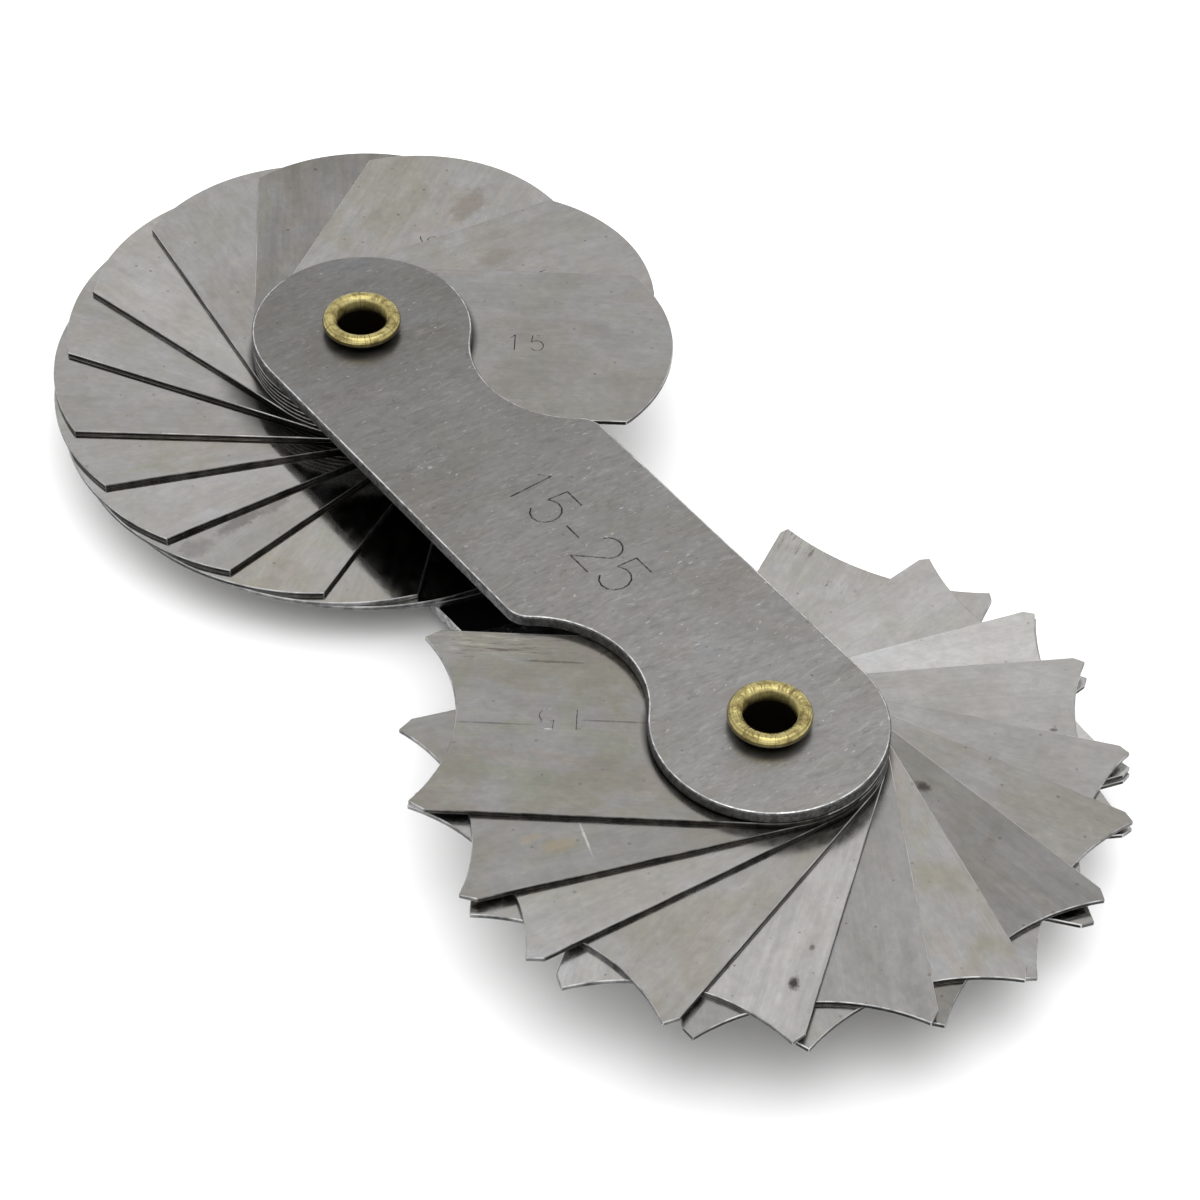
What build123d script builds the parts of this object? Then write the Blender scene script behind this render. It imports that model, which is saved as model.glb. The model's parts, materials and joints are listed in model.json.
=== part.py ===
"""Radius gauge: convex and concave steel leaves fanned out of a two-plate holder on two hollow rivets."""
from build123d import *
import math
import os

# Leaves, in millimetres and degrees
leaf_radii = (15, 15.5, 16, 16.5, 17, 17.5, 18, 18.5, 19, 19.5, 20, 21, 22, 23, 24, 25)
leaf_width = 20.5
leaf_thickness = 0.46
leaf_gap = 0.02
convex_reach = 29.0
concave_reach = 29.7
tip_chamfer_width = 0.9
tip_chamfer_length = 1.4
lowest_chamfer_share = 0.5

# How far each leaf is swung out, from the top leaf of its stack down, seen from above
convex_angles = (51.5, 82, 122.5, 146, 172, 193, 210.5, 232, 247.5, 265.5, 279.5, 297.5, 314.5, 332, 352, 0)
concave_angles = (231, 250.5, 265.5, 288.5, 307.5, 328.5, 345.5, 6.5, 24, 39, 60, 73.5, 73, 95, 119.5, 180)

# Holder plates
plate_thickness = 1.2
plate_edge_break = 0.15
notch_radius = 10.0
notch_floor = 5.1
notch_corner_radius = 2.5
fan_clearance = 0.72

# Hollow rivets
bore_radius = 2.35
tube_wall = 0.4
roll_radius = 0.65
roll_sweep = 270
roll_flats = 9
rivet_play = 0.3
plate_hole_clearance = 0.02
leaf_hole_clearance = 0.05

# Sizes that follow from the driving ones
half_width = leaf_width / 2
widest_tip = half_width - tip_chamfer_width * lowest_chamfer_share
rivet_spacing = convex_reach + math.hypot(concave_reach, widest_tip) + fan_clearance
tube_radius = bore_radius + tube_wall
leaf_pitch = leaf_thickness + leaf_gap
stack_height = len(leaf_radii) * leaf_pitch + leaf_gap
holder_height = stack_height + 2 * plate_thickness


def head_arc(centre_x, first_angle, sweep):
    """Round end of a plate or a leaf, about its rivet."""
    return CenterArc((centre_x, 0), half_width, first_angle, sweep)


def convex_outline(radius):
    """Parallel-sided leaf with a round head and a tip that bulges to the gauge radius."""
    shoulder = convex_reach - radius + math.sqrt(radius**2 - half_width**2)
    with BuildSketch() as outline:
        with BuildLine():
            head_arc(0, 90, 180)
            Line((0, -half_width), (shoulder, -half_width))
            ThreePointArc((shoulder, -half_width), (convex_reach, 0), (shoulder, half_width))
            Line((shoulder, half_width), (0, half_width))
        make_face()
        Circle(tube_radius + leaf_hole_clearance, mode=Mode.SUBTRACT)
    return outline.sketch


def concave_outline(radius, chamfer_share):
    """Parallel-sided leaf with a round head, chamfered corners and a tip hollowed to the gauge radius."""
    tip_half_width = half_width - tip_chamfer_width * chamfer_share
    hollow_depth = radius - math.sqrt(radius**2 - tip_half_width**2)
    chamfer_start = concave_reach - tip_chamfer_length * chamfer_share
    with BuildSketch() as outline:
        with BuildLine():
            head_arc(0, 90, 180)
            Polyline((0, -half_width), (chamfer_start, -half_width), (concave_reach, -tip_half_width))
            ThreePointArc(
                (concave_reach, -tip_half_width),
                (concave_reach - hollow_depth, 0),
                (concave_reach, tip_half_width),
            )
            Polyline((concave_reach, tip_half_width), (chamfer_start, half_width), (0, half_width))
        make_face()
        Circle(tube_radius + leaf_hole_clearance, mode=Mode.SUBTRACT)
    return outline.sketch


def leaf(outline, rivet_x, angle, place):
    """One leaf, swung to its angle at its place in the stack, counted down from the top plate."""
    underside = stack_height / 2 - (place + 1) * leaf_pitch
    return Pos(rivet_x, 0, underside) * Rot(0, 0, angle) * extrude(outline, leaf_thickness)


def plate_outline():
    """Holder plate with two round heads and two finger notches that run tangent into the heads."""
    notch_centre_y = notch_floor + notch_radius
    notch_centre_x = math.sqrt((half_width + notch_radius) ** 2 - notch_centre_y**2)
    notch_mouth_x = notch_centre_x + math.sqrt(notch_radius**2 - (notch_centre_y - half_width) ** 2)
    share = half_width / (half_width + notch_radius)
    tangent_point = Vector(notch_centre_x * share, notch_centre_y * share)
    tangent_angle = math.degrees(math.atan2(notch_centre_y, notch_centre_x))
    head_sweep = 270 - tangent_angle
    far_rivet = Vector(rivet_spacing, 0)
    mouth = Vector(notch_mouth_x, half_width)
    floor = Vector(notch_centre_x, notch_floor)

    with BuildSketch() as outline:
        with BuildLine():
            head_arc(0, tangent_angle, head_sweep)
            Line((0, -half_width), far_rivet - mouth)
            ThreePointArc(far_rivet - mouth, far_rivet - floor, far_rivet - tangent_point)
            head_arc(rivet_spacing, tangent_angle + 180, head_sweep)
            Line((rivet_spacing, half_width), mouth)
            ThreePointArc(mouth, floor, tangent_point)
        make_face()
        for corner in (mouth, far_rivet - mouth):
            fillet(outline.vertices().sort_by_distance(corner)[0], notch_corner_radius)
        with Locations((0, 0), far_rivet):
            Circle(tube_radius + plate_hole_clearance, mode=Mode.SUBTRACT)
    return outline.sketch


def holder_plate(underside):
    """One steel plate of the holder with its outer edges broken."""
    blank = extrude(plate_outline(), plate_thickness)
    rims = [face.outer_wire().edges() for face in blank.faces().filter_by(Axis.Z)]
    blank = chamfer([edge for rim in rims for edge in rim], plate_edge_break)
    return Pos(0, 0, underside) * blank


def rolled_section(roll_height):
    """Half of the rivet's wall, from mid height to the end that is rolled outwards over a plate."""
    roll_centre = Vector(bore_radius + roll_radius, roll_height)
    roll_angles = [math.radians(180 - roll_sweep * flat / roll_flats) for flat in range(roll_flats + 1)]
    roll = [roll_centre + Vector(math.cos(angle), math.sin(angle)) * roll_radius for angle in roll_angles]
    lip = (tube_radius, roll_height - roll_radius)
    with BuildSketch(Plane.XZ) as section:
        with BuildLine():
            Polyline((bore_radius, 0), *roll, lip, (tube_radius, 0), close=True)
        make_face()
    return section.sketch


def hollow_rivet(rivet_x):
    """Brass tube rolled over at both ends; its lower roll seats on the lower plate."""
    seat = holder_height / 2 + roll_radius
    upper_half = revolve(rolled_section(seat + rivet_play), Axis.Z)
    lower_half = mirror(revolve(rolled_section(seat), Axis.Z), Plane.XY)
    return Pos(rivet_x, 0, 0) * (upper_half + lower_half)


def leaf_name(kind, radius):
    """Node name such as convex_leaf_15_5."""
    return f"{kind}_leaf_{radius:g}".replace(".", "_")


def build_parts():
    """Every sub-part of the gauge, by name, in its place."""
    parts = {
        "top_plate": holder_plate(stack_height / 2),
        "bottom_plate": holder_plate(-holder_height / 2),
        "convex_rivet": hollow_rivet(0),
        "concave_rivet": hollow_rivet(rivet_spacing),
    }
    for place, radius in enumerate(leaf_radii):
        chamfer_share = 1 - (1 - lowest_chamfer_share) * place / (len(leaf_radii) - 1)
        parts[leaf_name("convex", radius)] = leaf(convex_outline(radius), 0, convex_angles[place], place)
        parts[leaf_name("concave", radius)] = leaf(
            concave_outline(radius, chamfer_share), rivet_spacing, concave_angles[place], place
        )
    return parts


os.makedirs("parts", exist_ok=True)
for name, solid in build_parts().items():
    export_step(solid, os.path.join("parts", name + ".step"))
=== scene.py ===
"""Looks of the radius gauge: worn steel plates and leaves with engraved sizes, and crimped brass rivets."""
import json
import math
import random

import bmesh
import bpy
from mathutils import Matrix, Vector


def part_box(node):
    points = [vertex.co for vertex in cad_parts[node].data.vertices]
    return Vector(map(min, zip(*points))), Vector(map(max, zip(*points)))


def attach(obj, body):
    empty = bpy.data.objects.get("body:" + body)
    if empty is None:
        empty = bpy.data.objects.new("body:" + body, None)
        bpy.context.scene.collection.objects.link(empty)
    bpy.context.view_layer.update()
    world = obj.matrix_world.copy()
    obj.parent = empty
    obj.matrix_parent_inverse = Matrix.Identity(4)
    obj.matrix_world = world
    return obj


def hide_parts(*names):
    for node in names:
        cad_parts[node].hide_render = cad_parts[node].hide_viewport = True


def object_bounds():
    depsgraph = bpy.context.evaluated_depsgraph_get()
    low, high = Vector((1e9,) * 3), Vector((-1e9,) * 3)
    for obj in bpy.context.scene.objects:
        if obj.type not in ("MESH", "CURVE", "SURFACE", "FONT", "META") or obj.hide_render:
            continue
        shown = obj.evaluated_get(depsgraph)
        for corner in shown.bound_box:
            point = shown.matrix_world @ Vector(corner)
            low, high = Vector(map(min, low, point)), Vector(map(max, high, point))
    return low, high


MM = 0.001

# Places and sizes taken from the frame, in metres
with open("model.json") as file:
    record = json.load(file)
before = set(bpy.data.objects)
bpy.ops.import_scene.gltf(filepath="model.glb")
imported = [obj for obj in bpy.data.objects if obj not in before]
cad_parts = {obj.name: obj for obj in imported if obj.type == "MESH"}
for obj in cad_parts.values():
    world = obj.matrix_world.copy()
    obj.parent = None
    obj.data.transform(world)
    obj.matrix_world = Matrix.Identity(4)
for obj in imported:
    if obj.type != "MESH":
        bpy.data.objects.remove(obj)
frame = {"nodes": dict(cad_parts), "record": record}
cad_low, cad_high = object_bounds()
mounts = {mount["name"]: mount for mount in frame["record"]["mounts"]}
rivet_places = {
    "convex": Vector(mounts["convex_rivet_bore"]["pos_m"]),
    "concave": Vector(mounts["concave_rivet_bore"]["pos_m"]),
}
bore_radius = mounts["convex_rivet_bore"]["dims"]["r_mm"] * MM
gauge_middle = rivet_places["concave"].x / 2

# Places of the materials on a sheet
FLAT, WORN_EDGE, GROOVE, CUT_SIDE, INNER_FACE, GROUND_TIP, SIDE_EDGE = range(7)

# Rounded edges
leaf_edge = 0.08 * MM
plate_edge = 0.06 * MM
edge_segments = 2
weld_distance = 0.001 * MM
sharp_angle = math.radians(30)
flat_angle = math.radians(0.5)

# Parts of a sheet, told by how far a face's normal leans up or, on a leaf's rim, towards the tip
level_slope = 0.999
flat_slope = 0.95
worn_slope = 0.75
tip_slope = 0.5

# The plates' edges show no wear left of this x and above this y
unworn_corner = (-1 * MM, -2 * MM)

# Engraving: a range of sizes along the top plate and one size on each leaf. A pitch is a share of the height,
# and a point takes a share of the pitch
plate_text = "15-25"
plate_text_height = 4.5 * MM
plate_text_left = 25.0 * MM
plate_text_bottom = -1.9 * MM
plate_text_pitch = 0.76
plate_text_depth = 0.08 * MM
leaf_text_height = {"convex": 2.1 * MM, "concave": 2.3 * MM}
leaf_text_bottom = {"convex": -1.0 * MM, "concave": -1.55 * MM}
leaf_text_left = {"convex": 13.6 * MM, "concave": 15.5 * MM}
leaf_text_pitch = {"convex": 1.0, "concave": 1.1}
leaf_text_depth = 0.05 * MM
point_share = 0.5

# Section of a groove, as shares of its depth
groove_half_width = 1.6
groove_lift = 0.6

# Camera of the photograph, in millimetres and degrees
camera_place = Vector((216.85, -138.15, 233.22))
camera_aim = Vector((41.27, -3.06, 5.05))
camera_roll = 1.35
camera_lens = 110.3
camera_sensor = 36.0
camera_nearest = 10.0
camera_furthest = 10000.0


# Strokes of the engraved figures, in a cell one unit high

def arc(centre, size, first, last, steps=10):
    """Points along part of an ellipse, between two angles in degrees."""
    points = []
    for step in range(steps + 1):
        angle = math.radians(first + (last - first) * step / steps)
        points.append((centre[0] + size[0] * math.cos(angle), centre[1] + size[1] * math.sin(angle)))
    return points


FIGURES = {
    "0": [arc((0.3, 0.5), (0.28, 0.5), 90, 450, 18)],
    "1": [[(0.1, 0.8), (0.3, 1.0)], [(0.3, 1.0), (0.3, 0.0)]],
    "2": [arc((0.3, 0.72), (0.28, 0.28), 165, -35) + [(0.02, 0.0)], [(0.02, 0.0), (0.6, 0.0)]],
    "3": [arc((0.28, 0.76), (0.26, 0.24), 150, -90), arc((0.28, 0.27), (0.3, 0.27), 90, -150)],
    "4": [[(0.46, 0.0), (0.46, 1.0)], [(0.46, 1.0), (0.0, 0.3)], [(0.0, 0.3), (0.62, 0.3)]],
    "5": [[(0.56, 1.0), (0.08, 1.0)], [(0.08, 1.0), (0.04, 0.55)],
          [(0.04, 0.55)] + arc((0.28, 0.33), (0.3, 0.33), 125, -145)],
    "6": [arc((0.5, 0.5), (0.5, 0.5), 105, 190), arc((0.3, 0.3), (0.29, 0.3), 180, 540, 16)],
    "7": [[(0.02, 1.0), (0.6, 1.0)], [(0.6, 1.0), (0.2, 0.0)]],
    "8": [arc((0.3, 0.77), (0.23, 0.23), -90, 270, 14), arc((0.3, 0.27), (0.29, 0.27), 90, 450, 16)],
    "9": [arc((0.3, 0.7), (0.29, 0.3), 0, 360, 16), arc((0.1, 0.5), (0.5, 0.5), 10, -75)],
    ".": [[(0.26, 0.0), (0.34, 0.06)]],
    "-": [[(0.08, 0.42), (0.5, 0.42)]],
}


# Meshes

def mesh_object(name, shape):
    """New object in the scene from a bmesh, which is freed."""
    mesh = bpy.data.meshes.new(name)
    shape.to_mesh(mesh)
    shape.free()
    obj = bpy.data.objects.new(name, mesh)
    bpy.context.scene.collection.objects.link(obj)
    return obj


def rounded_copy(node, edge):
    """Copy of a sheet node with welded corners, flat faces made whole and sharp edges rounded."""
    shape = bmesh.new()
    shape.from_mesh(frame["nodes"][node].data)
    bmesh.ops.remove_doubles(shape, verts=shape.verts, dist=weld_distance)
    bmesh.ops.dissolve_limit(shape, angle_limit=flat_angle, verts=shape.verts, edges=shape.edges)
    inner_lines = [line for line in shape.edges if len(line.link_faces) == 2]
    rims = [line for line in inner_lines if line.calc_face_angle() > sharp_angle]
    result = bmesh.ops.bevel(
        shape, geom=rims, offset=edge, segments=edge_segments, affect="EDGES", profile=0.5
    )
    for face in shape.faces:
        if abs(face.normal.z) < flat_slope:
            face.material_index = CUT_SIDE
    for face in result["faces"]:
        face.material_index = WORN_EDGE
    return shape


def mark_tip(shape, along):
    """Tells the ground tip of a leaf from its sheared sides; along is where the leaf points."""
    for face in shape.faces:
        slope = face.normal.dot(along) / max(face.normal.xy.length, 0.001)
        if slope > tip_slope and face.material_index == CUT_SIDE:
            face.material_index = GROUND_TIP
        elif abs(slope) < tip_slope and face.material_index == WORN_EDGE:
            face.material_index = SIDE_EDGE


def groove_tool(strokes, depth):
    """Cutter with a V section along each stroke; strokes are lists of points on one level."""
    lift = Vector((0, 0, depth * groove_lift))
    bottom = Vector((0, 0, depth))
    tool = bmesh.new()
    for stroke in strokes:
        rings = []
        for place, point in enumerate(stroke):
            before = stroke[max(place - 1, 0)]
            after = stroke[min(place + 1, len(stroke) - 1)]
            along = (after - before).normalized()
            side = Vector((-along.y, along.x, 0)) * (depth * groove_half_width)
            section = (point + side + lift, point - bottom, point - side + lift)
            rings.append([tool.verts.new(corner) for corner in section])
        for ring, following in zip(rings, rings[1:]):
            for corner in range(3):
                other = (corner + 1) % 3
                tool.faces.new((ring[corner], ring[other], following[other], following[corner]))
        tool.faces.new(rings[0])
        tool.faces.new(reversed(rings[-1]))
    bmesh.ops.recalc_face_normals(tool, faces=tool.faces)
    for face in tool.faces:
        face.material_index = GROOVE
    return tool


def text_strokes(text, height, pitch, place):
    """Strokes of a text, set out along local X and carried to their place by a matrix."""
    strokes = []
    left = 0.0
    for figure in text:
        for stroke in FIGURES[figure]:
            strokes.append([place @ Vector(((left + x) * height, y * height, 0)) for x, y in stroke])
        left += pitch * (point_share if figure == "." else 1.0)
    return strokes


def engrave(obj, strokes, depth):
    """Cuts the strokes into the object as V grooves."""
    tool = mesh_object("engraving_tool", groove_tool(strokes, depth))
    cut = obj.modifiers.new("engraving", "BOOLEAN")
    cut.operation = "DIFFERENCE"
    cut.solver = "EXACT"
    cut.use_self = True
    cut.object = tool
    graph = bpy.context.evaluated_depsgraph_get()
    mesh = bpy.data.meshes.new_from_object(obj.evaluated_get(graph))
    obj.modifiers.clear()
    obj.data = mesh
    bpy.data.objects.remove(tool)


def leaf_angle(node, rivet):
    """Angle of a leaf about its rivet, from the middle of its surface."""
    mesh = frame["nodes"][node].data
    mesh.calc_loop_triangles()
    middle = Vector((0, 0, 0))
    for triangle in mesh.loop_triangles:
        corners = [mesh.vertices[index].co for index in triangle.vertices]
        middle += (sum(corners, Vector()) / 3 - rivet) * triangle.area
    return math.atan2(middle.y, middle.x)


# Rivets

roll_radius = 0.65 * MM
roll_sweep = 290
roll_steps = 28
tube_wall = 0.4 * MM
tube_overlap = 0.8
rivet_steps = 256

# Dents of the rolling tool: place in their share of the rim, widths in degrees and depths in millimetres
crimp_places = (0.2, 0.8)
crimp_widths = (1.2, 3.0)
crimp_depths = (0.03, 0.09)
deepest_crimp = 0.1 * MM

# A dent's middle and spread, as shares of the way round the roll, and its bulge, as a share of its depth
crimp_middle = 0.28
crimp_spread = 0.14
crimp_bulge = 0.5

# Dents of each rivet: seed, count, and first and last angle
rivet_crimps = {"convex": (4, 7, 55, 115), "concave": (9, 52, 0, 360)}


def crimp_marks(seed, count, first, last):
    """Places, widths and depths of the dents that the rolling tool left along part of a rim, in degrees."""
    dice = random.Random(seed)
    marks = []
    for mark in range(count):
        place = first + (last - first) * (mark + dice.uniform(*crimp_places)) / count
        marks.append((place, dice.uniform(*crimp_widths), dice.uniform(*crimp_depths) * MM))
    return marks


def rivet_profile(low, high):
    """Points of the rivet's section, as radius, height and how far round the roll they lie."""
    points = []
    for end, height in ((1, high - roll_radius), (-1, low + roll_radius)):
        turn = []
        for step in range(roll_steps + 1):
            angle = math.radians(180 - roll_sweep * step / roll_steps)
            turn.append((bore_radius + roll_radius + roll_radius * math.cos(angle),
                         height + end * roll_radius * math.sin(angle), step / roll_steps))
        outside = (bore_radius + tube_wall, height - end * roll_radius * tube_overlap, 1.0)
        points += [*turn, outside] if end > 0 else [outside, *reversed(turn)]
    return points


def dent_depth(turn, marks):
    """Depth of all the dents together at an angle round the rim."""
    dent = 0.0
    for place, width, depth in marks:
        away = (turn - place + 180) % 360 - 180
        dent += depth * math.exp(-((away / width) ** 2))
    return min(dent, deepest_crimp)


def rolled_rivet(name, node, centre, marks):
    """Hollow rivet turned about its centre, with dents pressed into both rolled rims."""
    low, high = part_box(node)
    profile = rivet_profile(low.z, high.z)
    shape = bmesh.new()
    rings = []
    for step in range(rivet_steps):
        turn = 360 * step / rivet_steps
        angle = math.radians(turn)
        dent = dent_depth(turn, marks)
        ring = []
        for radius, height, along in profile:
            bite = math.exp(-(((along - crimp_middle) / crimp_spread) ** 2)) * dent
            inward = 1 if height > 0 else -1
            ring.append(shape.verts.new((
                centre.x + (radius + bite * crimp_bulge) * math.cos(angle),
                centre.y + (radius + bite * crimp_bulge) * math.sin(angle),
                height - inward * bite,
            )))
        rings.append(ring)
    for ring, following in zip(rings, rings[1:] + rings[:1]):
        for place in range(len(profile)):
            after = (place + 1) % len(profile)
            shape.faces.new((ring[place], ring[after], following[after], following[place]))
    bmesh.ops.recalc_face_normals(shape, faces=shape.faces)
    for face in shape.faces:
        face.smooth = True
    return mesh_object(name, shape)


# Materials

def grey(value):
    return (value, value, value, 1)


class Shader:
    """Material under construction, with short calls to add nodes and link them."""

    def __init__(self, name):
        self.material = bpy.data.materials.new(name)
        self.material.use_nodes = True
        self.nodes = self.material.node_tree.nodes
        self.links = self.material.node_tree.links
        self.surface = self.nodes["Principled BSDF"]

    def add(self, kind, inputs=(), **settings):
        """New node with its settings and inputs; an input is a value or another node's output."""
        node = self.nodes.new(kind)
        for key, value in settings.items():
            setattr(node, key, value)
        for key, value in dict(inputs).items():
            self.put(node.inputs[key], value)
        return node

    def put(self, socket, value):
        """Links another node's output to a socket, or sets a value on it."""
        if isinstance(value, bpy.types.NodeSocket):
            self.links.new(value, socket)
        else:
            socket.default_value = value

    def local(self, origin, angle):
        """Coordinates in millimetres, from an origin and along an angle."""
        place = self.add("ShaderNodeTexCoord").outputs["Object"]
        frame_of = {"Vector": place, "Location": origin, "Rotation": (0, 0, angle), "Scale": (MM, MM, MM)}
        return self.add("ShaderNodeMapping", frame_of, vector_type="TEXTURE").outputs[0]

    def stretch(self, coordinates, scale, shift=(0, 0, 0)):
        """Coordinates scaled along each axis and shifted; a small scale draws a pattern out."""
        inputs = {"Vector": coordinates, "Scale": scale, "Location": shift}
        return self.add("ShaderNodeMapping", inputs).outputs[0]

    def split(self, vector):
        """X, Y and Z of a vector."""
        return self.add("ShaderNodeSeparateXYZ", {0: vector}).outputs

    def noise(self, coordinates, scale, detail=3.0, roughness=0.55, distortion=0.0):
        inputs = {"Vector": coordinates, "Scale": scale, "Detail": detail, "Roughness": roughness,
                  "Distortion": distortion}
        return self.add("ShaderNodeTexNoise", inputs).outputs[0]

    def cells(self, coordinates, scale, dimensions="3D"):
        """Scattered points, as the distance to the nearest one and its random colour."""
        inputs = {"Vector": coordinates, "Scale": scale}
        return self.add("ShaderNodeTexVoronoi", inputs, voronoi_dimensions=dimensions).outputs

    def remap(self, value, low, high, to_low=0.0, to_high=1.0):
        """Smooth step from one value to another while the input goes from low to high."""
        inputs = {"Value": value, "From Min": low, "From Max": high, "To Min": to_low, "To Max": to_high}
        return self.add("ShaderNodeMapRange", inputs, interpolation_type="SMOOTHSTEP").outputs[0]

    def math(self, operation, first, second=0.0):
        return self.add("ShaderNodeMath", {0: first, 1: second}, operation=operation).outputs[0]

    def product(self, first, *others):
        for other in others:
            first = self.math("MULTIPLY", first, other)
        return first

    def vector(self, operation, *inputs):
        """Result of a vector operation, first as a vector and then as a value."""
        return self.add("ShaderNodeVectorMath", dict(enumerate(inputs)), operation=operation).outputs

    def blend(self, factor, first, second, mode="MIX"):
        node = self.add("ShaderNodeMix", data_type="RGBA", blend_type=mode)
        for socket, value in zip((node.inputs[0], node.inputs[6], node.inputs[7]), (factor, first, second)):
            self.put(socket, value)
        return node.outputs[2]

    def darken(self, colour, shade):
        """Colour times a shade."""
        shade_colour = self.add("ShaderNodeCombineColor", {0: shade, 1: shade, 2: shade}).outputs[0]
        return self.blend(1.0, colour, shade_colour, "MULTIPLY")

    def finish(self, colour, roughness, metallic=1.0):
        """Puts the results on the surface."""
        for key, value in {"Base Color": colour, "Roughness": roughness, "Metallic": metallic}.items():
            self.put(self.surface.inputs[key], value)

    def relief(self, height, strength, distance):
        """Fine relief on the surface; the distance is in metres."""
        bump = self.add("ShaderNodeBump", {"Strength": strength, "Distance": distance, "Height": height})
        self.put(self.surface.inputs["Normal"], bump.outputs[0])


# Layers of noise on the steel: scale along the grain, scale per millimetre, detail, roughness, distortion
steel_layers = {
    "clouds": (1, 0.1, 4, 0.6, 0.6),
    "blotches": (0.6, 0.3, 4, 0.55, 0.3),
    "smears": (0.12, 0.9, 4, 0.6, 0.0),
    "flecks": (0.55, 2.4, 3, 0.6, 0.0),
    "mottle": (0.8, 1.0, 5, 0.65, 0.5),
    "tints": (0.7, 0.2, 4, 0.55, 0.8),
    "hairs": (0.03, 6.0, 2, 0.5, 0.0),
    "scratches": (0.05, 2.2, 4, 0.7, 0.0),
    "fine_grain": (1, 4.5, 2, 0.55, 0.0),
    "rub_strokes": (0.12, 3.0, 4, 0.6, 0.4),
    "fibre_strands": (0.3, 2.0, 4, 0.6, 1.2),
    "fibre_flecks": (0.4, 3.4, 2, 0.5, 0.6),
}
patch_wobble = (1.1, 4, 0.7)

# Step from one seed's part of the noise to the next one's, in millimetres
seed_steps = (17.3, 9.1, 5.7)

# Steel's own colour and its stains, as shares of its tone
neutral = (1, 0.975, 0.95)
tan = (0.98, 0.93, 0.80)
blue = (0.97, 0.99, 1.04)
pink = (1.03, 0.94, 0.87)
green = (0.95, 0.96, 0.82)

# Colours of what lies on the steel
speck_dirt = (0.08, 0.07, 0.06, 1)
pit_dirt = (0.07, 0.06, 0.05, 1)
rub_dirt = (0.09, 0.075, 0.06, 1)
rub_shine = (0.48, 0.46, 0.40, 1)


def toned(tone, shares):
    """Colour of a tone of steel."""
    return (*(tone * share for share in shares), 1)


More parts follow.
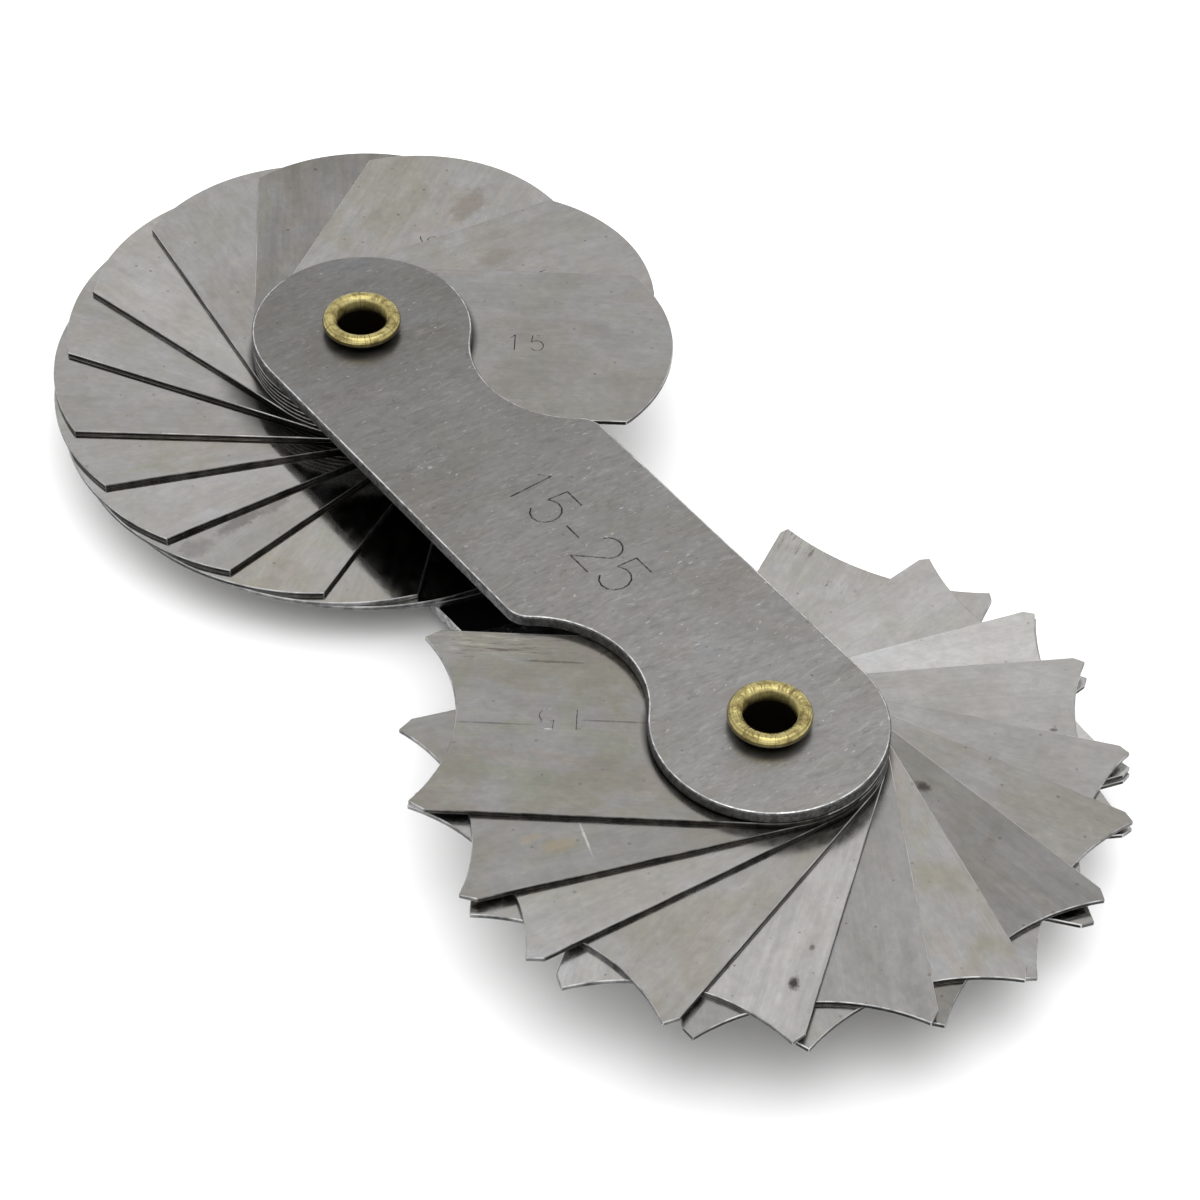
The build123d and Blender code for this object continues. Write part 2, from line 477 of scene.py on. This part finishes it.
class Steel(Shader):
    """Rolled and ground steel under construction; every pattern is set out along its grain."""

    def __init__(self, name, origin, angle, seed):
        super().__init__(name)
        self.coordinates = self.local(origin, angle)
        self.shift = tuple(seed * step for step in seed_steps)
        self.layers = {}

    def along_grain(self, stretch=1):
        return self.stretch(self.coordinates, (stretch, 1, 1), self.shift)

    def layer(self, name):
        """One layer of noise, made when it is first asked for."""
        if name not in self.layers:
            stretch, *settings = steel_layers[name]
            self.layers[name] = self.noise(self.along_grain(stretch), *settings)
        return self.layers[name]

    def tinted(self, tone, warm):
        """Neutral steel with faint tan, blue, pink and green stains."""
        clouds, blotches, tints = self.layer("clouds"), self.layer("blotches"), self.layer("tints")
        colour = toned(tone, neutral)
        for place, stain in (
            (self.remap(clouds, 0.4, 0.64, 0.0, warm), tan),
            (self.remap(blotches, 0.52, 0.74, 0.0, 0.5), blue),
            (self.remap(tints, 0.52, 0.68, 0.0, 0.8 * warm), pink),
            (self.remap(tints, 0.34, 0.46, 0.6 * warm, 0.0), green),
        ):
            colour = self.blend(place, colour, toned(tone, stain))
        return colour

    def shade(self, streaks):
        """Light and dark that six of the layers of noise make together."""
        return self.product(
            self.remap(self.layer("clouds"), 0.35, 0.68, 1.04, 0.95),
            self.remap(self.layer("blotches"), 0.3, 0.7, 0.96, 1.03),
            self.remap(self.layer("smears"), 0.3, 0.7, 1 - 0.08 * streaks, 1 + 0.04 * streaks),
            self.remap(self.layer("flecks"), 0.3, 0.75, 0.965, 1.04),
            self.remap(self.layer("mottle"), 0.3, 0.7, 0.955, 1.035),
            self.remap(self.layer("hairs"), 0.3, 0.7, 0.98, 1.02),
        )

    def painted_root_shade(self, full, end, darkest):
        """Painted shade round the rivet, by the plate's edge, from its darkest value to 1 where it ends."""
        reach = self.vector("LENGTH", self.stretch(self.coordinates, (1, 1, 0)))[1]
        return self.remap(reach, full, end, darkest, 1.0)

    def scratched(self, colour):
        scratch = self.remap(self.layer("scratches"), 0.69, 0.74)
        return self.blend(self.product(scratch, 0.2), colour, grey(0.6))

    def specked(self, colour):
        """Sparse round specks with ragged rims; a second noise chooses where any lie."""
        ragged = self.product(self.layer("flecks"), 0.12)
        away = self.math("ADD", self.cells(self.along_grain(), 0.4)["Distance"], ragged)
        chosen = self.remap(self.noise(self.along_grain(), 0.23, 1), 0.52, 0.56)
        speck = self.product(self.remap(away, 0.09, 0.12, 1, 0), chosen)
        return self.blend(self.product(speck, 0.55), colour, speck_dirt)

    def pitted(self, colour, strength):
        """Scattered pits of all sizes up to a largest one."""
        dots = self.cells(self.along_grain(), 0.24, "2D")
        lot = self.add("ShaderNodeSeparateColor", {0: dots["Color"]}).outputs[0]
        outside = self.math("SUBTRACT", dots["Distance"], self.product(lot, 0.03))
        pit = self.remap(outside, 0.002, 0.016, 1, 0)
        return self.blend(self.product(pit, strength), colour, pit_dirt)

    def patch(self, centre, size):
        """Ragged patch round a point: 1 inside and 0 outside."""
        away = self.vector("SUBTRACT", self.coordinates, (*centre, 0))[0]
        flat = self.vector("MULTIPLY", away, (1 / size[0], 1 / size[1], 0))[0]
        wobble = self.product(self.noise(self.coordinates, *patch_wobble), 1.6)
        ragged = self.math("ADD", self.vector("LENGTH", flat)[1], wobble)
        return self.remap(ragged, 1.15, 1.85, 1.0, 0.0)

    def stained(self, colour, stains):
        for centre, size, stain, strength in stains:
            place = self.product(self.patch(centre, size), strength)
            colour = self.blend(place, colour, (*stain, 1))
        return colour

    def rubbed(self, colour, rubs):
        """Zones rubbed into dark and pale strokes."""
        for centre, size in rubs:
            strokes = self.layer("rub_strokes")
            patch = self.patch(centre, size)
            dark = self.product(patch, self.remap(strokes, 0.52, 0.64, 0.0, 0.7))
            pale = self.product(patch, self.remap(strokes, 0.36, 0.46, 0.4, 0.0))
            colour = self.blend(dark, colour, rub_dirt)
            colour = self.blend(pale, colour, rub_shine)
        return colour

    def fibrous(self, colour, strength):
        """Short dark and pale strands all over, with a few bright flecks."""
        strands = self.layer("fibre_strands")
        colour = self.blend(self.remap(strands, 0.50, 0.70, 0.0, strength), colour, grey(0.08))
        colour = self.blend(self.remap(strands, 0.30, 0.46, strength, 0.0), colour, grey(0.55))
        return self.blend(self.remap(self.layer("fibre_flecks"), 0.68, 0.75, 0.0, 0.5), colour, grey(0.7))

    def roughness(self, rough):
        return self.math("ADD", self.remap(self.layer("blotches"), 0.3, 0.7, rough - 0.03, rough + 0.04),
                         self.remap(self.layer("smears"), 0.3, 0.7, -0.01, 0.02))

    def grain(self):
        """Height of the fine relief that rolling and grinding left."""
        height = self.math("ADD", self.product(self.layer("hairs"), 0.5), self.layer("flecks"))
        return self.math("ADD", height, self.product(self.layer("fine_grain"), 0.6))


def steel_shader(name, origin, angle, seed, finish, root_shade=()):
    """Steel with its relief, colour and roughness so far; with painted root shade the roughness is mottled
    too.
    """
    tone, warm, streaks, rough = finish
    shader = Steel(name, origin, angle, seed)
    shade = shader.shade(streaks)
    roughness = shader.roughness(rough)
    # Painted shade at the root, by the plate's edge
    if root_shade:
        shade = shader.product(shade, shader.painted_root_shade(*root_shade))
        roughness = shader.product(roughness, shader.remap(shader.layer("mottle"), 0.3, 0.7, 0.75, 1.2))
    colour = shader.darken(shader.tinted(tone, warm), shade)
    colour = shader.specked(shader.scratched(colour))
    colour = shader.pitted(colour, 0.2 + 0.25 * streaks)
    shader.relief(shader.grain(), *steel_relief)
    return shader, colour, roughness


def leaf_steel(node, rivet, angle, seed, finish, root_shade):
    """Steel of a leaf, with the stains and rubbed zones of its own."""
    shader, colour, roughness = steel_shader(node + "_steel", rivet, angle, seed, finish, root_shade)
    colour = shader.stained(colour, leaf_stains.get(node, ()))
    colour = shader.rubbed(colour, leaf_rubs.get(node, ()))
    shader.finish(colour, roughness)
    return shader.material


def plate_steel(node, seed):
    """Steel of a holder plate, with strands across it and a painted shade that lifts along it."""
    shader, colour, roughness = steel_shader(node + "_steel", (0, 0, 0), plate_grain, seed, plate_finish)
    colour = shader.fibrous(colour, plate_fibres)
    along_x = shader.split(shader.local((0, 0, 0), 0))[0]
    # Painted shade, darker towards the convex rivet's end
    shader.finish(shader.darken(colour, shader.remap(along_x, *plate_painted_shade, 1.0)), roughness)
    return shader.material


def rubbed_metal(name, dark, light, scale, rough):
    """Metal whose colour wanders between a dark and a light one."""
    shader = Shader(name)
    wear = shader.noise(shader.local((0, 0, 0), 0), scale, 4, 0.7)
    colour = shader.blend(shader.remap(wear, 0.35, 0.65), dark, light)
    shader.finish(colour, shader.remap(wear, 0.3, 0.7, rough + 0.08, rough - 0.06))
    return shader.material


# Brass, the tarnish and dirt on it, and the painted shade down the bore and under the rolls
bright_brass = (0.52, 0.45, 0.19, 1)
tarnished_brass = (0.21, 0.16, 0.06, 1)
line_dirt = (0.12, 0.09, 0.03, 1)
ring_dirt = (0.10, 0.075, 0.03, 1)
bore_shade = (0.008, 0.006, 0.004, 1)
flank_shade = (0.02, 0.015, 0.008, 1)

# Heights from the middle and radii, in millimetres, between which the painted shade in the bore and the
# painted shade below the roll fade, and radii between which the bore's dull wall turns into bare metal
bore_heights, bore_radii = (5.0, 6.15), (2.5, 3.0)
flank_heights, flank_radii = (5.7, 6.2), (3.1, 3.4)
bare_radii = (2.4, 2.6)

# Strength and depth of the fine relief on both metals
steel_relief = (0.12, 0.02 * MM)
brass_relief = (0.5, 0.03 * MM)


def brass(name, centre, seed):
    """Tarnished brass with fine lines across the rolled rims and rings round them."""
    shader = Shader(name)
    coordinates = shader.local(centre, 0)
    flat = shader.stretch(coordinates, (1, 1, 0))
    radius = shader.vector("LENGTH", flat)[1]
    height = shader.math("ABSOLUTE", shader.split(coordinates)[2])
    around = shader.stretch(shader.vector("NORMALIZE", flat)[0], (1, 1, 1), (seed, seed * 2, 0))
    section = shader.add("ShaderNodeCombineXYZ", {0: radius, 1: height}).outputs[0]
    lines = shader.noise(around, 22, 3, 0.7)
    rings = shader.noise(section, 6.0, 3, 0.6)
    tarnish = shader.noise(coordinates, 0.9, 4, 0.65)

    colour = shader.blend(shader.remap(tarnish, 0.4, 0.68), bright_brass, tarnished_brass)
    colour = shader.blend(shader.remap(lines, 0.52, 0.68, 0.0, 0.7), colour, line_dirt)
    colour = shader.blend(shader.remap(rings, 0.5, 0.62, 0.0, 0.5), colour, ring_dirt)
    # Painted shade down the bore, where little light reaches
    low_down = shader.remap(height, *bore_heights, 1, 0)
    in_bore = shader.product(low_down, shader.remap(radius, *bore_radii, 1, 0))
    colour = shader.blend(in_bore, colour, bore_shade)
    # Painted shade under the roll's outer flank, next to the plate
    flank = shader.product(shader.remap(height, *flank_heights, 1, 0), shader.remap(radius, *flank_radii))
    colour = shader.blend(flank, colour, flank_shade)

    roughness = shader.remap(shader.noise(around, 3.5, 2), 0.3, 0.7, 0.12, 0.24)
    shader.finish(colour, roughness, shader.remap(radius, *bare_radii, 0.3, 1.0))
    shader.relief(shader.math("ADD", lines, shader.product(rings, 0.6)), *brass_relief)
    return shader.material


def sheet_trim():
    """Materials that every sheet shares, in the order of their places after the flat face."""
    return [
        rubbed_metal("worn_steel_edge", grey(0.3), grey(0.7), 0.9, 0.32),
        rubbed_metal("engraved_groove", (0.03, 0.028, 0.026, 1), (0.16, 0.155, 0.15, 1), 2.5, 0.4),
        # Sheared sides: near black, partly dark scale on the cut and partly painted shade between stacked
        # leaves
        rubbed_metal("sheared_side_scale_and_shade", (0.01, 0.009, 0.007, 1), (0.045, 0.039, 0.032, 1), 0.8, 0.45),
        # Near black inner faces of the plates: painted shade between the plates and the leaves
        rubbed_metal("shaded_inner_face", grey(0.004), grey(0.01), 0.5, 0.5),
        rubbed_metal("ground_tip", grey(0.05), grey(0.2), 0.4, 0.32),
        rubbed_metal("sheared_edge", grey(0.2), grey(0.5), 0.15, 0.32),
    ]


# Finish of each leaf, from the top down: tone, warmth of the stains, strength of the streaks, roughness
convex_finish = (
    (0.285, 0.5, 0.5, 0.2), (0.315, 0.6, 0.6, 0.2), (0.34, 0.9, 0.9, 0.2), (0.235, 0.9, 1.6, 0.22),
    (0.325, 0.4, 0.6, 0.2), (0.39, 0.4, 0.5, 0.2), (0.34, 0.5, 0.7, 0.2), (0.33, 0.3, 0.5, 0.1),
    (0.35, 1.0, 0.5, 0.09), (0.40, 0.2, 0.4, 0.09), (0.36, 0.4, 0.7, 0.12), (0.38, 1.0, 0.6, 0.12),
    (0.37, 0.9, 0.5, 0.12), (0.36, 0.6, 0.5, 0.12), (0.35, 0.5, 0.5, 0.14), (0.35, 0.5, 0.5, 0.14),
)
concave_finish = (
    (0.278, 1.5, 0.3, 0.2), (0.28, 0.9, 0.5, 0.2), (0.375, 0.5, 0.5, 0.2), (0.35, 0.8, 0.5, 0.2),
    (0.44, 0.1, 1.4, 0.2), (0.31, 0.2, 0.7, 0.2), (0.345, 1.0, 0.4, 0.2), (0.245, 0.6, 0.8, 0.2),
    (0.32, 0.6, 0.6, 0.2), (0.34, 0.3, 0.4, 0.2), (0.39, 0.2, 0.3, 0.2), (0.52, 0.1, 0.3, 0.2),
    (0.46, 0.1, 0.3, 0.2), (0.43, 0.3, 0.5, 0.2), (0.40, 0.4, 0.8, 0.2), (0.35, 0.5, 0.5, 0.2),
)

# Leaves, by place in the stack, whose long edges are darker, a painted shade on the lower convex leaves,
# and whose tips are near black, a painted shade under them
darkened_edges = {"convex": range(8, 16), "concave": range(3)}
shaded_tips = {"convex": range(12), "concave": range(5, 8)}

# Painted shade at a leaf's root by the plate's edge, deeper on a few leaves where it paints the dark
# reflection of the plate: radius up to which it is full, radius where it ends, in millimetres, and shade
deeply_shaded_leaves = {"convex": range(6, 10), "concave": ()}
deep_root_shade = (11.0, 14.5, 0.08)
light_root_shade = (10.2, 11.0, 0.2)

# Finish of the plates, and a painted shade that lifts from its third value to 1 between two places along X,
# in millimetres, darker towards the convex rivet's end
plate_finish = (0.29, 0.4, 0.3, 0.3)
plate_grain = math.radians(85)
plate_fibres = 0.22
plate_painted_shade = (-30, 95, 0.59)
# The plates' sides, one steel in two tones: painted shade on the top plate's, painted light on the bottom
# plate's
top_side_tone = 0.14
bottom_side_tone = 0.6

# Stains that stand out, in leaf coordinates: centre, half size, colour and strength
dark_stain = (0.03, 0.02, 0.018)
brown_stain = (0.20, 0.155, 0.115)
grey_smudge = (0.14, 0.13, 0.125)
rust = (0.36, 0.28, 0.17)
bare_steel = (0.7, 0.7, 0.7)
leaf_stains = {
    "concave_leaf_15": [
        ((23.6, 0.35), (4.4, 0.14), dark_stain, 0.4),
        ((13.1, -0.4), (3.8, 0.14), dark_stain, 0.4),
        ((18.3, -7.0), (3.4, 0.16), dark_stain, 0.45),
    ],
    "concave_leaf_15_5": [
        ((20.4, 6.6), (1.8, 0.9), rust, 0.4),
        ((22.6, 5.4), (1.2, 0.6), rust, 0.35),
        ((18.1, 6.6), (0.16, 2.0), bare_steel, 0.5),
    ],
    "concave_leaf_17": [
        ((24.0, 8.2), (0.9, 0.5), dark_stain, 0.9),
        ((20.0, 8.7), (0.5, 0.3), dark_stain, 0.6),
    ],
    "concave_leaf_18_5": [
        ((19.0, 7.4), (0.5, 0.3), brown_stain, 0.6),
        ((11.1, 7.5), (0.9, 0.6), dark_stain, 0.75),
    ],
    "concave_leaf_20": [((25.3, 2.0), (0.5, 0.3), dark_stain, 0.6)],
    "convex_leaf_20": [
        ((21.3, 6.2), (3.4, 1.0), grey_smudge, 0.6),
        ((17.6, 6.9), (2.2, 0.8), grey_smudge, 0.5),
        ((26.6, 6.0), (2.4, 1.4), grey_smudge, 0.45),
        ((25.0, 2.4), (2.6, 1.0), grey_smudge, 0.4),
    ],
    "convex_leaf_16": [((22.7, -1.5), (3.5, 1.8), brown_stain, 0.45)],
    "convex_leaf_15_5": [((16.5, 5.0), (2.6, 1.4), brown_stain, 0.3)],
}

# Zones rubbed into dark and pale strokes, in leaf coordinates: centre and half size
leaf_rubs = {
    "concave_leaf_15": [((23.8, -9.0), (7.5, 2.2))],
    "concave_leaf_24": [((28.4, 7.8), (1.8, 3.4)), ((24.6, 2.6), (0.9, 1.8))],
}


# Pieces

def leaf_names(kind):
    """Leaves of one fan, from the top of the stack down."""
    names = [name for name in frame["nodes"] if name.startswith(kind + "_leaf_")]
    return sorted(names, key=lambda name: -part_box(name)[1].z)


def size_text(node):
    """Figures of a leaf's size, such as 15.5, from its node's name."""
    return ".".join(node.split("_leaf_")[1].split("_"))


def finish_piece(obj, materials, node, body):
    """Gives a piece its materials and puts it on its body in place of its node."""
    for material in materials:
        obj.data.materials.append(material)
    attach(obj, body)
    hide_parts(node)


def smooth_faces(obj):
    """Smooth shading round the edges, with the flat faces left flat."""
    kept_normals = obj.data.attributes.get("custom_normal")
    if kept_normals:
        obj.data.attributes.remove(kept_normals)
    obj.data.set_sharp_from_angle(angle=sharp_angle)
    for face in obj.data.polygons:
        face.use_smooth = abs(face.normal.z) < level_slope


def build_leaf(node, kind, finish, seed, root_shade, trim):
    """Leaf with its size engraved along it."""
    rivet = rivet_places[kind]
    angle = leaf_angle(node, rivet)
    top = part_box(node)[1].z
    shape = rounded_copy(node, leaf_edge)
    mark_tip(shape, Vector((math.cos(angle), math.sin(angle), 0)))
    obj = mesh_object(node + "_engraved", shape)
    place = Matrix.Translation((rivet.x, rivet.y, top)) @ Matrix.Rotation(angle, 4, "Z")
    place = place @ Matrix.Translation((leaf_text_left[kind], leaf_text_bottom[kind], 0))
    strokes = text_strokes(size_text(node), leaf_text_height[kind], leaf_text_pitch[kind], place)
    engrave(obj, strokes, leaf_text_depth)
    smooth_faces(obj)
    material = leaf_steel(node, rivet, angle, seed, finish, root_shade)
    finish_piece(obj, (material, *trim), node, node)


def mark_plate(shape, inward):
    """Tells a plate's inner face, its worn edges and its sides apart."""
    for face in shape.faces:
        # A plate's inner face takes the near black material, a painted shade
        if face.normal.z * inward > flat_slope:
            face.material_index = INNER_FACE
        elif face.material_index == WORN_EDGE and abs(face.normal.z) < worn_slope:
            face.material_index = CUT_SIDE
        elif face.material_index == WORN_EDGE:
            middle = face.calc_center_median()
            if middle.x < unworn_corner[0] and middle.y > unworn_corner[1]:
                face.material_index = FLAT


def build_plate(node, seed, inward, side_tone, trim, text=""):
    """Holder plate; its inner face is the one whose normal has the sign of inward."""
    shape = rounded_copy(node, plate_edge)
    mark_plate(shape, inward)
    obj = mesh_object(node + "_finished", shape)
    if text:
        place = Matrix.Translation((plate_text_left, plate_text_bottom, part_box(node)[1].z))
        strokes = text_strokes(text, plate_text_height, plate_text_pitch, place)
        engrave(obj, strokes, plate_text_depth)
    smooth_faces(obj)
    side = rubbed_metal(node + "_side", grey(0.4 * side_tone), grey(side_tone), 1.6, 0.5)
    worn_edge, groove, _, inner_face, *_ = trim
    materials = (plate_steel(node, seed), worn_edge, groove, side, inner_face)
    finish_piece(obj, materials, node, "holder")


def build_rivet(kind, seed, *crimps):
    """Rivet of one fan, with its dents."""
    node = kind + "_rivet"
    obj = rolled_rivet(node + "_rolled", node, rivet_places[kind], crimp_marks(seed, *crimps))
    material = brass(node + "_brass", rivet_places[kind], seed)
    finish_piece(obj, (material,), node, "holder")


def build_gauge():
    trim = sheet_trim()
    tip_edge = {
        "convex": rubbed_metal("convex_tip_edge", grey(0.22), grey(0.4), 0.4, 0.32),
        "concave": rubbed_metal("concave_tip_edge", grey(0.16), grey(0.42), 0.4, 0.3),
    }
    pale_groove = rubbed_metal("rubbed_groove", grey(0.12), grey(0.4), 1.4, 0.4)
    # Darker long edges, painted shade on the lower convex leaves, and near black tips, painted shade under
    # them
    darkened_edge = rubbed_metal("darkened_sheared_edge", grey(0.03), grey(0.15), 0.2, 0.4)
    black_tip = rubbed_metal("shaded_tip", grey(0.012), grey(0.06), 0.3, 0.4)
    groove = {"convex": trim[GROOVE - 1], "concave": pale_groove}
    for kind, first_seed, finishes in (("convex", 1, convex_finish), ("concave", 41, concave_finish)):
        for place, node in enumerate(leaf_names(kind)):
            leaf_trim = [tip_edge[kind], groove[kind], *trim[GROOVE:]]
            if place in darkened_edges[kind]:
                leaf_trim[SIDE_EDGE - 1] = darkened_edge
            if place in shaded_tips[kind]:
                leaf_trim[GROUND_TIP - 1] = black_tip
            # Painted shade at the root: deep on a few convex leaves, light on the rest
            root_shade = deep_root_shade if place in deeply_shaded_leaves[kind] else light_root_shade
            build_leaf(node, kind, finishes[place], first_seed + place, root_shade, leaf_trim)
    build_plate("top_plate", 3, -1, top_side_tone, trim, plate_text)
    build_plate("bottom_plate", 5, 1, bottom_side_tone, trim)
    for kind, crimps in rivet_crimps.items():
        build_rivet(kind, *crimps)


# Stage, light and camera

# Floor: size in metres, tone, roughness, and a faint glow that only the camera and reflections see
floor_size = 3.0
floor_tone = 0.75
floor_roughness = 0.9
floor_lift = 0.05

# Light of the surroundings: its direction, least and greatest strength, and cosines between which it grows
light_source = (-0.55, 0.4, 0.75)
light_strengths = (0.33, 2.65)
light_range = (0.0, 0.95)

# What the camera and reflections see of them, in the same way: a little greyer below than above
seen_strengths = (0.75, 1.0)
seen_range = (-0.1, 0.45)

# Square soft lamps: place and size in metres, and power in watts
lamps = {
    "key_lamp": ((0.3, -0.1, 0.95), 0.95, 3.0),
    "front_lamp": ((0.7, -0.5, 0.75), 0.9, 1.5),
}


def seen_directly(nodes, links):
    """1 for rays from the camera and for reflections and refractions of what the camera would see."""
    path = nodes.new("ShaderNodeLightPath").outputs
    total = path["Is Camera Ray"]
    for kind in ("Is Glossy Ray", "Is Transmission Ray"):
        join = nodes.new("ShaderNodeMath")
        join.operation = "MAXIMUM"
        links.new(total, join.inputs[0])
        links.new(path[kind], join.inputs[1])
        total = join.outputs[0]
    return total


def build_floor():
    """Pale floor that shows as white, apart from the gauge's shadow."""
    shape = bmesh.new()
    bmesh.ops.create_grid(shape, x_segments=1, y_segments=1, size=floor_size / 2)
    floor = mesh_object("floor", shape)
    floor.location = (gauge_middle, 0, cad_low.z)
    shader = Shader("floor_paint")
    shader.finish(grey(floor_tone), floor_roughness, 0.0)
    shader.put(shader.surface.inputs["Specular IOR Level"], 0.0)
    lift = shader.math("MULTIPLY", seen_directly(shader.nodes, shader.links), floor_lift)
    glow = shader.add("ShaderNodeEmission", {"Color": grey(1), "Strength": lift})
    both = shader.add("ShaderNodeAddShader", {0: shader.surface.outputs[0], 1: glow.outputs[0]})
    shader.put(shader.nodes["Material Output"].inputs["Surface"], both.outputs[0])
    floor.data.materials.append(shader.material)


def gradient(nodes, links, towards, strengths, ends):
    """Strength that grows as a ray turns towards a direction; ends are the cosines between which it grows."""
    dot = nodes.new("ShaderNodeVectorMath")
    dot.operation = "DOT_PRODUCT"
    links.new(nodes.new("ShaderNodeTexCoord").outputs["Generated"], dot.inputs[0])
    dot.inputs[1].default_value = Vector(towards).normalized()
    ramp = nodes.new("ShaderNodeMapRange")
    ramp.interpolation_type = "SMOOTHSTEP"
    links.new(dot.outputs["Value"], ramp.inputs["Value"])
    for key, value in zip(("From Min", "From Max", "To Min", "To Max"), (*ends, *strengths)):
        ramp.inputs[key].default_value = value
    return ramp.outputs[0]


def build_world():
    """White surroundings, a little greyer low down, whose light on the floor comes from above and behind."""
    world = bpy.data.worlds.new("studio")
    bpy.context.scene.world = world
    world.use_nodes = True
    nodes, links = world.node_tree.nodes, world.node_tree.links
    lit = nodes["Background"]
    seen = nodes.new("ShaderNodeBackground")
    for backdrop, towards, strengths, ends in (
        (lit, light_source, light_strengths, light_range),
        (seen, (0, 0, 1), seen_strengths, seen_range),
    ):
        backdrop.inputs["Color"].default_value = grey(1)
        links.new(gradient(nodes, links, towards, strengths, ends), backdrop.inputs["Strength"])
    mix = nodes.new("ShaderNodeMixShader")
    links.new(seen_directly(nodes, links), mix.inputs[0])
    links.new(lit.outputs[0], mix.inputs[1])
    links.new(seen.outputs[0], mix.inputs[2])
    links.new(mix.outputs[0], nodes["World Output"].inputs["Surface"])


def build_lamp(name, place, size, power):
    """Square soft lamp that points at the middle of the gauge."""
    lamp = bpy.data.lights.new(name, "AREA")
    lamp.size = size
    lamp.energy = power
    obj = bpy.data.objects.new(name, lamp)
    bpy.context.scene.collection.objects.link(obj)
    obj.location = place
    aim = Vector((gauge_middle, 0, 0)) - Vector(place)
    obj.rotation_mode = "QUATERNION"
    obj.rotation_quaternion = aim.to_track_quat("-Z", "Y")


def build_camera():
    lens = bpy.data.cameras.new("camera")
    lens.lens = camera_lens
    lens.sensor_width = camera_sensor
    lens.clip_start = camera_nearest * MM
    lens.clip_end = camera_furthest * MM
    obj = bpy.data.objects.new("camera", lens)
    bpy.context.scene.collection.objects.link(obj)
    obj.location = camera_place * MM
    look = (camera_aim - camera_place).to_track_quat("-Z", "Y").to_matrix().to_4x4()
    obj.rotation_euler = (look @ Matrix.Rotation(math.radians(camera_roll), 4, "Z")).to_euler()
    bpy.context.scene.camera = obj


build_gauge()
build_floor()
build_world()
for lamp_name, settings in lamps.items():
    build_lamp(lamp_name, *settings)
build_camera()
bpy.context.scene.view_settings.view_transform = "Standard"
